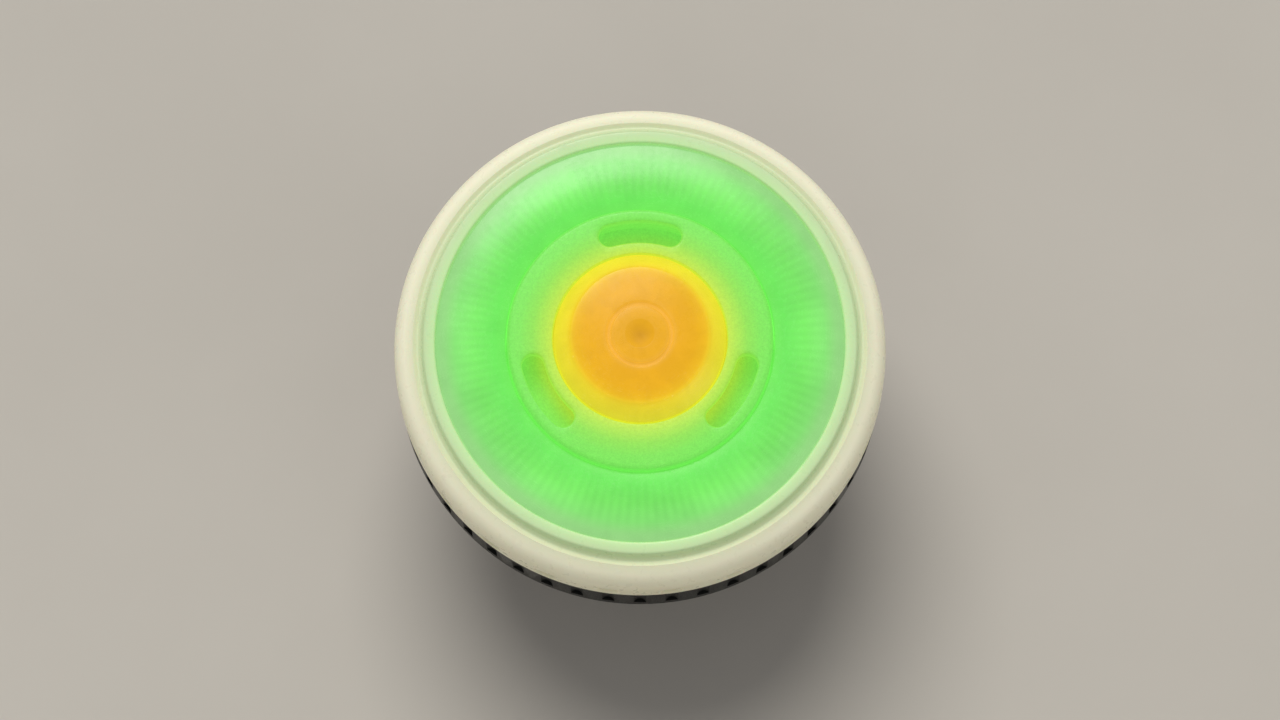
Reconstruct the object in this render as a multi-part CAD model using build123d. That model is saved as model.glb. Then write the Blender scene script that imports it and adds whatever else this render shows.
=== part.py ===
"""A light-up battling top: a lit upper body, a twist-lock lower body with a weight disc, and a free tip.

Millimetres. +Z is the spin axis, pointing up, and the origin is the middle of the tip's flat face.
Each function below makes one node. A turned part is given by its outline of (radius, height) points.
"""

import os

from build123d import *

# Overall size
RIM_RADIUS = 23.0
HUB_TOP = 36.0

# Gaps
RUNNING_GAP = 0.05  # a shaft in its bush
MOVING_GAP = 0.1  # neighbours that slide past each other

# Thirds: what repeats three times, by the angle of its first copy
CELL_ANGLE = 30.0
CASE_SCREW_ANGLE = 0.0
COVER_SCREW_ANGLE = 115.0
SLOT_ANGLE = 90.0
LOCK_ANGLE = 90.0
DRIVER_SCREW_ANGLE = 60.0

# Tip, its axle and what the axle turns in
AXLE_RADIUS = 1.0
AXLE_TOP = 11.0
TIP_FLAT_RADIUS = 3.2
TIP_RADIUS = 4.3
TIP_TOP = 4.5
WASHER_BOTTOM = TIP_TOP + MOVING_GAP
WASHER_TOP = 4.9
BUSH_RADIUS = 2.0
BUSH_FLANGE_RADIUS = 2.8
BUSH_BOTTOM = 5.0
BUSH_FLANGE_TOP = 5.6
BUSH_TOP = 9.6
CLIP_BOTTOM = 10.0
CLIP_THICKNESS = 0.3

# Lower body
DRIVER_BOTTOM = 4.8
DRIVER_SPLIT = 9.2  # where the base meets the shell
SPRING_SEAT = 10.6
DRIVER_SCREW_PITCH_RADIUS = 7.0
PLUNGER_BORE = 4.85
FLANGE_BORE = 5.55
FLANGE_STOP = 20.5
DISC_SEAT = 16.4
DISC_TOP = 21.2
DISC_RADIUS = 20.3
COLLAR_RADIUS = 8.8
COLLAR_TOP = 21.3
NECK_RADIUS = 6.2
NECK_TOP = 25.2
LUG_RADIUS = 7.4
LUG_BOTTOM = 23.75
LUG_TOP = 25.0
LUG_SPAN = 44.0

# Upper body
TRAY_BOTTOM = 21.5
TRAY_RADIUS = 22.85
TRAY_SPLIT = 26.6  # where the tray meets the upper shell
TRAY_WALL = 18.45  # its inner wall, round the cells
TRAY_FLUTES = 48  # to grip it by, when the lower body is twisted off
TRAY_FLUTE_BOTTOM = 23.0
TRAY_FLUTE_TOP = 25.9
SHELL_FLUTES = 24
SHELL_FLUTE_BOTTOM = 27.4
SHELL_FLUTE_TOP = 29.1
SPIGOT_RADIUS = 20.05
SHELL_INNER = 20.2
COVER_RADIUS = 18.9
TRAY_FLOOR = 22.9
TRAY_FLOOR_TOP = 24.0
SOCKET_RADIUS = 7.6
SOCKET_WALL_RADIUS = 9.0
SOCKET_CEILING = 27.2
LEDGE_RADIUS = 6.45
LEDGE_SPAN = 50.0
BOARD_BOTTOM = 28.1
BOARD_TOP = 29.1
BOARD_RADIUS = 19.7
CASE_SCREW_PITCH_RADIUS = 21.4
PITCH_RADIUS = 13.6  # button cells and cover screws
CELL_RADIUS = 3.95
CELL_BOTTOM = 23.1
CELL_TOP = 26.7
POCKET_RADIUS = 4.15
LENS_INNER = 12.5
LENS_OUTER = 19.0
LIP_TOP = 33.0
HUB_CROWN_RADIUS = 6.5
HUB_FOOT_RADIUS = 8.0
HUB_SHOULDER_RADIUS = 8.6
LAUNCHER_TOP = 34.0
LAUNCHER_PLATE_BOTTOM = 32.6
LAUNCHER_WALL = 11.6
SLOT_PITCH_RADIUS = 10.25
SLOT_WIDTH = 2.1
SLOT_SPAN = 32.0
LAMP_PITCH_RADIUS = 16.2
LAMP_COUNT = 6

# Centrifugal switch, lying along +Y under the board
SWITCH_HEIGHT = 26.5
SWITCH_RADIUS = 1.55
SWITCH_BORE = 1.15
SWITCH_INNER_END = 10.2
SWITCH_OUTER_END = 17.0
BALL_RADIUS = 1.05
BALL_REST = 11.75
SWITCH_PIN_END = 14.35

# Screws, by their thread's radius
SCREW_RADIUS = 0.68
SCREW_HOLE_RADIUS = 0.7
SCREW_HEAD_RADIUS = 1.0
SCREW_HEAD_HEIGHT = 0.8
SCREW_SEAT_RADIUS = 1.1


def thirds(shape, first=0.0, count=3):
    """Copies of a shape, evenly spaced round the spin axis."""
    return [Rot(0, 0, first + i * 360 / count) * shape for i in range(count)]


def turned(*pieces):
    """A solid of revolution. Its outline is points (radius, height), and arcs given as lines between them."""
    edges = []
    previous = None
    first = None
    for piece in pieces:
        if isinstance(piece, list):  # an arc: a point it passes, and its end
            middle, end = piece
            edges.append(ThreePointArc(flat(previous), flat(middle), flat(end)))
            previous = end
            continue
        if previous is not None:
            edges.append(Line(flat(previous), flat(piece)))
        first = first or piece
        previous = piece
    edges.append(Line(flat(previous), flat(first)))
    return revolve(make_face(Wire(edges)), Axis.Z)


def flat(point):
    """An outline's (radius, height) as a point of the XZ plane."""
    return (point[0], 0, point[1])


def ring(inner, outer, bottom, top):
    """A plain ring, or a disc where inner is 0."""
    disc = Cylinder(outer, top - bottom, align=(Align.CENTER, Align.CENTER, Align.MIN))
    if inner:
        disc -= Cylinder(inner, top - bottom, align=(Align.CENTER, Align.CENTER, Align.MIN))
    return Pos(0, 0, bottom) * disc


def sector(inner, outer, bottom, top, span, middle=0.0):
    """A stretch of a ring that spans an angle, centred at another."""
    start = CenterArc((0, 0), outer, middle - span / 2, span)
    back = CenterArc((0, 0), inner, middle - span / 2, span)
    sides = [Line(start @ 0, back @ 0), Line(start @ 1, back @ 1)]
    face = make_face(Wire([start, back, *sides]))
    return Pos(0, 0, bottom) * extrude(face, top - bottom)


def arc_slot(pitch_radius, width, bottom, top, span, middle=0.0):
    """A curved slot with round ends, as a solid to cut with."""
    half = width / 2
    body = sector(pitch_radius - half, pitch_radius + half, bottom, top, span, middle)
    for end in (middle - span / 2, middle + span / 2):
        body += Rot(0, 0, end) * Pos(pitch_radius, 0, 0) * ring(0, half, bottom, top)
    return body


def rounded(solid, size, *spots):
    """Fillets the round edges at the given (radius, height) spots."""
    near = 0.02
    chosen = [
        edge
        for edge in solid.edges().filter_by(GeomType.CIRCLE)
        if any(
            abs(edge.radius - r) < near and abs(edge.arc_center.Z - z) < near
            for r, z in spots
        )
    ]
    return fillet(chosen, size)


def one(shape):
    """The shape's largest solid, which drops the empty shell of a boolean."""
    return max(shape.solids(), key=lambda solid: solid.volume)


def screw(head_bottom, shank_top, pitch_radius):
    """A small pan-head screw, driven up from below, with a cross recess in its head."""
    head = ring(0, SCREW_HEAD_RADIUS, head_bottom, head_bottom + SCREW_HEAD_HEIGHT)
    head = rounded(head, 0.25, (SCREW_HEAD_RADIUS, head_bottom))
    body = head + ring(0, SCREW_RADIUS, head_bottom + SCREW_HEAD_HEIGHT, shank_top)
    body = chamfer(body.faces().sort_by(Axis.Z)[-1].edges(), 0.3)
    blade = (1.3, 0.32, 0.9)
    for turn in (0, 90):
        body -= Pos(0, 0, head_bottom) * Rot(0, 0, turn) * Box(*blade)
    return Pos(pitch_radius, 0, 0) * one(body)


def screw_way(head_seat, hole_top, pitch_radius, open_from, seat_radius=SCREW_SEAT_RADIUS):
    """What a screw's head recess and hole take out of the part that it passes."""
    recess = ring(0, seat_radius, open_from, head_seat)
    return Pos(pitch_radius, 0, 0) * (recess + ring(0, SCREW_HOLE_RADIUS, head_seat, hole_top))


# --- Tip ---------------------------------------------------------------------------------------


def make_tip():
    """The free tip that the top spins on: a flat foot, a waist and a blind hole for its axle."""
    tip = turned(
        (0, 0),
        (TIP_FLAT_RADIUS, 0),
        (TIP_RADIUS, 1.6),
        (TIP_RADIUS, 2.6),
        (2.9, TIP_TOP),
        (0, TIP_TOP),
    )
    tip = rounded(tip, 0.5, (TIP_FLAT_RADIUS, 0), (TIP_RADIUS, 1.6), (TIP_RADIUS, 2.6))
    return one(tip - ring(0, AXLE_RADIUS, 1.6, TIP_TOP))


def make_tip_axle():
    """The steel pin pressed into the tip, with a groove for its clip."""
    axle = ring(0, AXLE_RADIUS, 1.6, AXLE_TOP)
    axle = chamfer(axle.edges().filter_by(GeomType.CIRCLE), 0.2)
    groove_radius = 0.75
    groove_top = CLIP_BOTTOM + CLIP_THICKNESS + RUNNING_GAP
    return one(axle - ring(groove_radius, AXLE_RADIUS + 1, CLIP_BOTTOM - RUNNING_GAP, groove_top))


def make_axle_clip():
    """An E-clip in the axle's groove, which keeps the tip from falling out of its bush."""
    clip = ring(0.78, 2.0, CLIP_BOTTOM, CLIP_BOTTOM + CLIP_THICKNESS)
    middle = CLIP_BOTTOM + CLIP_THICKNESS / 2
    mouth = Pos(1.5, 0, middle) * Box(3, 1.25, 1)
    clip -= mouth
    for side in (-1, 1):
        clip -= Rot(0, 0, 125 * side) * Pos(1.25, 0, middle) * Cylinder(0.3, 1)
    return one(clip)


def make_thrust_washer():
    """The washer between the tip's shoulder and the bush."""
    return ring(AXLE_RADIUS + MOVING_GAP, 2.5, WASHER_BOTTOM, WASHER_TOP)


def make_tip_bush():
    """The flanged brass bush that the axle turns in."""
    bore = AXLE_RADIUS + RUNNING_GAP
    bush = turned(
        (bore, BUSH_BOTTOM),
        (BUSH_FLANGE_RADIUS, BUSH_BOTTOM),
        (BUSH_FLANGE_RADIUS, BUSH_FLANGE_TOP),
        (BUSH_RADIUS, BUSH_FLANGE_TOP),
        (BUSH_RADIUS, BUSH_TOP),
        (bore, BUSH_TOP),
    )
    return rounded(bush, 0.15, (BUSH_FLANGE_RADIUS, BUSH_BOTTOM), (BUSH_RADIUS, BUSH_TOP))


# --- Lower body --------------------------------------------------------------------------------


def make_driver_base():
    """The cone that holds the bush and closes the shell from below."""
    base = turned(
        (BUSH_RADIUS, BUSH_FLANGE_TOP),
        (BUSH_FLANGE_RADIUS, BUSH_FLANGE_TOP),
        (BUSH_FLANGE_RADIUS, DRIVER_BOTTOM),
        (5.6, DRIVER_BOTTOM),
        (8.6, 6.6),
        (9.4, DRIVER_SPLIT),
        (FLANGE_BORE - RUNNING_GAP, DRIVER_SPLIT),
        (FLANGE_BORE - RUNNING_GAP, SPRING_SEAT),
        (2.6, SPRING_SEAT),
        (2.6, BUSH_TOP),
        (BUSH_RADIUS, BUSH_TOP),
    )
    base = rounded(base, 0.5, (5.6, DRIVER_BOTTOM), (8.6, 6.6))
    head_seat = 7.4
    way = screw_way(head_seat, DRIVER_SPLIT, DRIVER_SCREW_PITCH_RADIUS, DRIVER_BOTTOM - 1)
    for cut in thirds(way, DRIVER_SCREW_ANGLE):
        base -= cut
    rib_cut = Pos(8.9, 0, 6.9) * Rot(0, 35, 0) * Box(1.2, 1.1, 4)
    for cut in thirds(rib_cut, 0, 3):
        base -= cut
    return one(base)


def make_driver_screws():
    """The three screws that hold the driver base to its shell."""
    single = screw(7.4 - SCREW_HEAD_HEIGHT, 13.0, DRIVER_SCREW_PITCH_RADIUS)
    return Compound(children=thirds(single, DRIVER_SCREW_ANGLE))


def make_driver_shell():
    """The lower body: a fluted cone, a seat and keys for the weight disc, and a neck with three lock lugs."""
    shell = turned(
        (FLANGE_BORE, DRIVER_SPLIT),
        (9.4, DRIVER_SPLIT),
        (12.2, 14.2),
        (12.8, 14.8),
        (12.8, DISC_SEAT),
        (COLLAR_RADIUS, DISC_SEAT),
        (COLLAR_RADIUS, COLLAR_TOP),
        (NECK_RADIUS, COLLAR_TOP),
        (NECK_RADIUS, NECK_TOP),
        (PLUNGER_BORE, NECK_TOP),
        (PLUNGER_BORE, FLANGE_STOP),
        (FLANGE_BORE, FLANGE_STOP),
    )
    shell = rounded(shell, 0.3, (12.2, 14.2), (12.8, 14.8), (NECK_RADIUS, NECK_TOP))
    for lug in thirds(sector(NECK_RADIUS - 0.4, LUG_RADIUS, LUG_BOTTOM, LUG_TOP, LUG_SPAN), LOCK_ANGLE):
        shell += lug
    key = Pos(COLLAR_RADIUS, 0, (DISC_SEAT + DISC_TOP) / 2) * Box(1.6, 2.4, DISC_TOP - DISC_SEAT - 0.4)
    for copy in thirds(key, LOCK_ANGLE):
        shell += copy
    flute_bottom = DRIVER_SPLIT - 1
    flute_top = 14.6
    flute = Pos(13.0, 0, 0) * ring(0, 1.5, flute_bottom, flute_top)
    for cut in thirds(flute, 15, 12):
        shell -= cut
    pilot = Pos(DRIVER_SCREW_PITCH_RADIUS, 0, 0) * ring(0, SCREW_HOLE_RADIUS, DRIVER_SPLIT, 13.6)
    for cut in thirds(pilot, DRIVER_SCREW_ANGLE):
        shell -= cut
    return one(shell)


def make_weight_disc():
    """The die-cast ring that gives the top its spin: a heavy rim, a web with windows, and a keyed bore."""
    bore = COLLAR_RADIUS + RUNNING_GAP
    disc = turned(
        (bore, DISC_SEAT),
        (12.0, DISC_SEAT),
        (12.0, 17.8),
        (15.2, 17.8),
        (15.8, 16.8),
        (19.3, 16.8),
        (DISC_RADIUS, 17.8),
        (DISC_RADIUS, 20.2),
        (19.3, DISC_TOP),
        (15.8, DISC_TOP),
        (15.2, 20.0),
        (12.0, 20.0),
        (12.0, DISC_TOP),
        (bore, DISC_TOP),
    )
    disc = rounded(disc, 0.25, (19.3, 16.8), (DISC_RADIUS, 17.8), (DISC_RADIUS, 20.2), (19.3, DISC_TOP))
    for window in thirds(arc_slot(13.6, 2.0, 17, 21, 30), 0, 6):
        disc -= window
    key_way = Pos(COLLAR_RADIUS, 0, (DISC_SEAT + DISC_TOP) / 2) * Box(1.8, 2.5, 6)
    for cut in thirds(key_way, LOCK_ANGLE):
        disc -= cut
    bite = Pos(DISC_RADIUS + 1.2, 0, 0) * ring(0, 2.0, DISC_SEAT - 1, DISC_TOP + 1)
    for cut in thirds(bite, 15, 12):
        disc -= cut
    return one(disc)


def make_lock_plunger():
    """The sprung cup that presses on the socket's ceiling and holds the twist lock by friction."""
    radius = PLUNGER_BORE - MOVING_GAP
    flange = FLANGE_BORE - MOVING_GAP
    top = SOCKET_CEILING - MOVING_GAP
    cup = turned(
        (0, top),
        (radius, top),
        (radius, FLANGE_STOP - MOVING_GAP),
        (flange, FLANGE_STOP - MOVING_GAP),
        (flange, 18.9),
        (3.7, 18.9),
        (3.7, 25.5),
        (0, 25.5),
    )
    cup = rounded(cup, 0.4, (radius, top), (3.7, 25.5))
    for rib in thirds(Pos(2.9, 0, top) * Box(1.8, 0.5, 0.5), 0, 6):
        cup -= rib
    return one(cup)


def make_lock_spring():
    """The compression spring under the plunger."""
    wire = 0.27
    coil_radius = 3.1
    low = SPRING_SEAT + wire + 0.03
    height = 25.5 - wire - 0.05 - low
    path = Pos(0, 0, low) * Helix(pitch=height / 8, height=height, radius=coil_radius)
    section = Plane(path @ 0, z_dir=path % 0) * Circle(wire)
    return one(sweep(section, path=path, is_frenet=True))


# --- Upper body: case --------------------------------------------------------------------------


def make_base_tray():
    """The black tray: lock socket, cell pockets, screw bosses, grip flutes and the spigot under the board."""
    tray = turned(
        (0, SOCKET_CEILING),
        (SOCKET_RADIUS, SOCKET_CEILING),
        (SOCKET_RADIUS, TRAY_BOTTOM),
        (9.3, TRAY_BOTTOM),
        (9.3, TRAY_FLOOR),
        (COVER_RADIUS + 0.1, TRAY_FLOOR),
        (COVER_RADIUS + 0.1, TRAY_BOTTOM),
        (TRAY_RADIUS - 0.3, TRAY_BOTTOM),
        (TRAY_RADIUS, 22.0),
        (TRAY_RADIUS, TRAY_SPLIT),
        (SPIGOT_RADIUS, TRAY_SPLIT),
        (SPIGOT_RADIUS, BOARD_BOTTOM),
        (TRAY_WALL, BOARD_BOTTOM),
        (TRAY_WALL, TRAY_FLOOR_TOP),
        (SOCKET_WALL_RADIUS, TRAY_FLOOR_TOP),
        (SOCKET_WALL_RADIUS, BOARD_BOTTOM),
        (0, BOARD_BOTTOM),
    )
    tray = rounded(tray, 0.15, (TRAY_RADIUS, 22.0), (TRAY_RADIUS - 0.3, TRAY_BOTTOM))
    ledge = sector(LEDGE_RADIUS, SOCKET_RADIUS + 0.4, 22.3, 23.6, LEDGE_SPAN)
    stop = sector(LEDGE_RADIUS, SOCKET_RADIUS + 0.4, 23.0, LUG_TOP, 13.5, -LUG_SPAN / 2 - 1 - 13.5 / 2)
    for copy in thirds(ledge, LOCK_ANGLE) + thirds(stop, LOCK_ANGLE):
        tray += copy
    pocket = Pos(PITCH_RADIUS, 0, 0) * ring(0, POCKET_RADIUS + 0.7, TRAY_FLOOR, 26.9)
    for copy in thirds(pocket, CELL_ANGLE):
        tray += copy
    boss = Pos(PITCH_RADIUS, 0, 0) * ring(0, 1.7, TRAY_FLOOR, 26.2)
    for copy in thirds(boss, COVER_SCREW_ANGLE):
        tray += copy
    cell_hole = Pos(PITCH_RADIUS, 0, 0) * ring(0, POCKET_RADIUS, TRAY_FLOOR, 27.0)
    for cut in thirds(cell_hole, CELL_ANGLE):
        tray -= cut
    pilot = Pos(PITCH_RADIUS, 0, 0) * ring(0, SCREW_HOLE_RADIUS, TRAY_FLOOR, 25.8)
    for cut in thirds(pilot, COVER_SCREW_ANGLE):
        tray -= cut
    way = screw_way(22.5, TRAY_SPLIT, CASE_SCREW_PITCH_RADIUS, TRAY_BOTTOM - 1)
    for cut in thirds(way, CASE_SCREW_ANGLE):
        tray -= cut
    flute = Pos(TRAY_RADIUS + 0.35, 0, 0) * ring(0, 0.7, TRAY_FLUTE_BOTTOM, TRAY_FLUTE_TOP)
    for cut in thirds(flute, 0, TRAY_FLUTES):
        tray -= cut
    return one(tray)


def make_case_screws():
    """The three screws that clamp the tray to the upper shell."""
    single = screw(22.5 - SCREW_HEAD_HEIGHT, 29.0, CASE_SCREW_PITCH_RADIUS)
    return Compound(children=thirds(single, CASE_SCREW_ANGLE))


def make_battery_cover():
    """The ring plate that shuts the cells in, with a notch to lift it by."""
    cover = turned((9.45, TRAY_BOTTOM), (COVER_RADIUS, TRAY_BOTTOM), (COVER_RADIUS, 22.85), (9.45, 22.85))
    cover = rounded(cover, 0.25, (9.45, TRAY_BOTTOM), (COVER_RADIUS, TRAY_BOTTOM))
    way = screw_way(22.35, 23.0, PITCH_RADIUS, TRAY_BOTTOM - 1)
    for cut in thirds(way, COVER_SCREW_ANGLE):
        cover -= cut
    for groove_radius in (11.0, 16.2):
        cover -= ring(groove_radius, groove_radius + 0.5, TRAY_BOTTOM, TRAY_BOTTOM + 0.3)
    return one(cover - Rot(0, 0, 55) * Pos(COVER_RADIUS + 0.1, 0, 22) * Box(1.4, 3.2, 3))


def make_cover_screws():
    """The three screws that hold the battery cover."""
    single = screw(22.35 - SCREW_HEAD_HEIGHT, 25.6, PITCH_RADIUS)
    return Compound(children=thirds(single, COVER_SCREW_ANGLE))


def make_upper_shell():
    """The cream rim: a convex outer slope, a raised lip over the lens and a fluted side wall."""
    low = TRAY_SPLIT + 0.05
    lip_inner = LENS_OUTER + MOVING_GAP
    shell = turned(
        (SHELL_INNER, low),
        (RIM_RADIUS - 0.4, low),
        (RIM_RADIUS, low + 0.5),
        (RIM_RADIUS, 29.4),
        [(22.6, 30.95), (21.2, 32.2)],
        (20.75, 31.9),
        (20.4, 32.3),
        (SHELL_INNER, LIP_TOP),
        (lip_inner, LIP_TOP),
        (lip_inner, 31.9),
        (SHELL_INNER, 31.9),
    )
    shell = rounded(shell, 0.3, (SHELL_INNER, LIP_TOP), (lip_inner, LIP_TOP))
    flute = Pos(RIM_RADIUS + 1.1, 0, 0) * ring(0, 1.6, SHELL_FLUTE_BOTTOM, SHELL_FLUTE_TOP)
    for cut in thirds(flute, 7.5, SHELL_FLUTES):
        shell -= cut
    pilot = Pos(CASE_SCREW_PITCH_RADIUS, 0, 0) * ring(0, SCREW_HOLE_RADIUS, TRAY_SPLIT, 29.4)
    for cut in thirds(pilot, CASE_SCREW_ANGLE):
        shell -= cut
    return one(shell)


# --- Upper body: light -------------------------------------------------------------------------


def make_lens_ring():
    """The green light window: a gently crowned ring with a skirt inside and a clamped flange outside."""
    lens = turned(
        (LENS_INNER, 30.3),
        (13.3, 30.3),
        (13.3, 31.9),
        (18.05, 31.5),
        (18.05, 31.05),
        (SPIGOT_RADIUS, 31.05),
        (SPIGOT_RADIUS, 31.85),
        (LENS_OUTER, 31.85),
        (LENS_OUTER, 32.6),
        [(15.8, 33.2), (LENS_INNER, 33.1)],
    )
    return rounded(lens, 0.25, (LENS_OUTER, 32.6))


def make_launcher_ring():
    """The frosted step round the hub. A launcher's three hooks enter its slots and turn under its plate."""
    inner = HUB_FOOT_RADIUS + 0.15
    floor = BOARD_TOP + 0.05
    step = turned(
        (inner, LAUNCHER_PLATE_BOTTOM),
        (LAUNCHER_WALL, LAUNCHER_PLATE_BOTTOM),
        (LAUNCHER_WALL, floor + 0.6),
        (HUB_SHOULDER_RADIUS + 0.15, floor + 0.6),
        (HUB_SHOULDER_RADIUS + 0.15, floor),
        (13.4, floor),
        (13.4, 30.2),
        (LENS_INNER - 0.1, 30.2),
        (LENS_INNER - 0.1, LAUNCHER_TOP),
        (inner, LAUNCHER_TOP),
    )
    step = rounded(step, 0.4, (LENS_INNER - 0.1, LAUNCHER_TOP))
    slot = arc_slot(SLOT_PITCH_RADIUS, SLOT_WIDTH, LAUNCHER_PLATE_BOTTOM - 1, LAUNCHER_TOP + 1, SLOT_SPAN)
    for cut in thirds(slot, SLOT_ANGLE):
        step -= cut
    return one(step)


def make_hub_lens():
    """The amber hub: a hollow cap with bevelled sides, and a ring groove and a dimple in its crown."""
    hub = turned(
        (0, HUB_TOP),
        [(4.0, 35.785), (HUB_CROWN_RADIUS, 35.43)],
        (HUB_FOOT_RADIUS, LAUNCHER_TOP - 0.1),
        (HUB_FOOT_RADIUS, LAUNCHER_PLATE_BOTTOM - 0.05),
        (HUB_SHOULDER_RADIUS, LAUNCHER_PLATE_BOTTOM - 0.05),
        (HUB_SHOULDER_RADIUS, BOARD_TOP + 0.05),
        (7.3, BOARD_TOP + 0.05),
        (6.8, 33.2),
        (5.4, 34.3),
        (0, 34.6),
    )
    hub = rounded(hub, 0.35, (HUB_CROWN_RADIUS, 35.43))
    hub -= ring(2.7, 3.15, 35.55, 37)
    dimple_radius = 2.0
    return one(hub - Pos(0, 0, HUB_TOP + 1.45) * Sphere(dimple_radius))


def make_reflector():
    """The white trough that throws the green lamps' light up into the lens."""
    trough = turned(
        (13.5, 29.3),
        (19.95, 29.3),
        (19.95, 31.0),
        (18.3, 31.0),
        (17.8, 29.8),
        (14.6, 29.8),
        (14.1, 31.3),
        (13.5, 31.3),
    )
    for window in thirds(Pos(LAMP_PITCH_RADIUS, 0, 30) * Box(3.1, 3.8, 4), 0, LAMP_COUNT):
        trough -= window
    return one(trough)


def make_circuit_board():
    """The round board that both lamps' light comes from, with plated holes and a flat for assembly."""
    board = ring(0, BOARD_RADIUS, BOARD_BOTTOM, BOARD_TOP)
    board -= Rot(0, 0, 45) * Pos(BOARD_RADIUS, 0, BOARD_TOP) * Box(1.0, 4.0, 4.0)
    for hole in thirds(Pos(10.4, 0, 0) * ring(0, 0.4, BOARD_BOTTOM, BOARD_TOP), 90, 3):
        board -= hole
    return one(board)


def lamp(length, width, height, well_radius):
    """A surface-mount lamp, lens up: a moulded frame with a round well and two end pads."""
    frame = Pos(0, 0, height / 2 + 0.05) * Box(width, length - 0.4, height - 0.1)
    frame = chamfer(frame.edges().filter_by(Axis.Z), 0.2)
    frame -= Pos(0, 0, height) * Cone(well_radius * 0.8, well_radius, 1.0)
    for side in (-1, 1):
        frame += Pos(0, side * (length - 0.3) / 2, 0.25) * Box(width * 0.8, 0.3, 0.5)
    return one(frame)


def make_green_leds():
    """Six green lamps under the lens ring."""
    single = Pos(LAMP_PITCH_RADIUS, 0, BOARD_TOP) * lamp(3.5, 2.8, 1.4, 1.1)
    return Compound(children=thirds(single, 0, LAMP_COUNT))


def make_amber_led():
    """The larger amber lamp under the hub."""
    return Pos(0, 0, BOARD_TOP) * lamp(5.0, 5.0, 1.6, 1.9)


# --- Upper body: electronics under the board ------------------------------------------------------


def make_controller_chip():
    """The eight-legged chip that flashes the lamps."""
    length, width, height = 4.9, 3.8, 1.35
    chip = Pos(0, 0, BOARD_BOTTOM - 0.1 - height / 2) * Box(width, length, height)
    chip = chamfer(chip.edges(), 0.15)
    for row in (-1, 1):
        for i in range(4):
            along = (i - 1.5) * 1.27
            chip += Pos(row * (width / 2 + 0.5), along, BOARD_BOTTOM - 0.1) * Box(0.6, 0.4, 0.18)
            chip += Pos(row * (width / 2 + 0.1), along, BOARD_BOTTOM - 0.4) * Box(0.4, 0.4, 0.78)
    return Rot(0, 0, 210) * Pos(13.0, 0, 0) * one(chip)


def make_resistors():
    """Six chip resistors, one for each green lamp."""
    resistor = Box(1.4, 1.2, 0.48)
    for end in (-1, 1):
        resistor += Pos(end * 0.8, 0, 0) * Box(0.4, 1.25, 0.54)
    place = Rot(0, 0, 330) * Pos(13.0, 0, BOARD_BOTTOM - 0.28)
    spots = [(column * 1.6, row * 1.9) for column in (-1, 1) for row in (-1, 0, 1)]
    return Compound(children=[place * Pos(*spot) * one(resistor) for spot in spots])


def make_button_cells():
    """Three button cells in series, caps down."""
    cell = turned(
        (0, CELL_BOTTOM),
        (3.0, CELL_BOTTOM),
        (3.2, CELL_BOTTOM + 0.45),
        (3.6, CELL_BOTTOM + 0.5),
        (CELL_RADIUS, CELL_BOTTOM + 0.8),
        (CELL_RADIUS, CELL_TOP),
        (0, CELL_TOP),
    )
    cell = rounded(cell, 0.25, (CELL_RADIUS, CELL_TOP), (CELL_RADIUS, CELL_BOTTOM + 0.8))
    return Compound(children=thirds(Pos(PITCH_RADIUS, 0, 0) * cell, CELL_ANGLE))


def make_board_contacts():
    """Three bent leaves, soldered under the board, that press on the cells' flat tops."""
    strip = 0.18
    width = 2.4
    run = Polyline(
        (-2.6, BOARD_BOTTOM - strip),
        (-1.2, BOARD_BOTTOM - strip),
        (1.0, CELL_TOP + 0.02),
        (2.4, CELL_TOP + 0.02),
        (2.4, CELL_TOP + 0.02 + strip),
        (1.1, CELL_TOP + 0.02 + strip),
        (-1.1, BOARD_BOTTOM - 0.01),
        (-2.6, BOARD_BOTTOM - 0.01),
        close=True,
    )
    leaf = extrude(Plane.XZ * make_face(run), width / 2, both=True)
    return Compound(children=thirds(Pos(PITCH_RADIUS, 0, 0) * one(leaf), CELL_ANGLE))


def make_cover_contacts():
    """Three dished plates on the cover, under the cells' caps."""
    plate = ring(0, 2.8, 22.88, CELL_BOTTOM - 0.02)
    plate -= Box(4.2, 0.4, 100)
    plate -= Box(0.4, 4.2, 100)
    return Compound(children=thirds(Pos(PITCH_RADIUS, 0, 0) * plate.solid(), CELL_ANGLE))


def along_switch(radius, start, end, inner=0.0):
    """A ring or rod on the switch's axis, from one distance from the spin axis to another."""
    return Pos(0, 0, SWITCH_HEIGHT) * Rot(-90, 0, 0) * ring(inner, radius, start, end)


def make_switch_sleeve():
    """The brass tube that the ball rolls in, closed at its inner end."""
    sleeve = along_switch(SWITCH_RADIUS, SWITCH_INNER_END, SWITCH_OUTER_END)
    return one(sleeve - along_switch(SWITCH_BORE, SWITCH_INNER_END + 0.4, SWITCH_OUTER_END))


def make_switch_contact():
    """The plug and pin that the ball touches when the top spins fast enough."""
    plug = along_switch(SWITCH_BORE - 0.01, 16.4, SWITCH_OUTER_END)
    pin = along_switch(0.35, SWITCH_PIN_END, 17.5)
    return one(plug + pin)


def make_switch_ball():
    """The steel ball that spin throws outwards."""
    return Pos(0, BALL_REST, SWITCH_HEIGHT) * Sphere(BALL_RADIUS)


def make_switch_spring():
    """The light spring that holds the ball off the pin."""
    wire = 0.08
    coil_radius = 0.8
    start = BALL_REST + 0.95
    height = 16.4 - 0.1 - start
    path = Helix(pitch=height / 7, height=height, radius=coil_radius)
    section = Plane(path @ 0, z_dir=path % 0) * Circle(wire)
    coil = one(sweep(section, path=path, is_frenet=True))
    return Pos(0, start, SWITCH_HEIGHT) * Rot(-90, 0, 0) * coil


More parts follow.
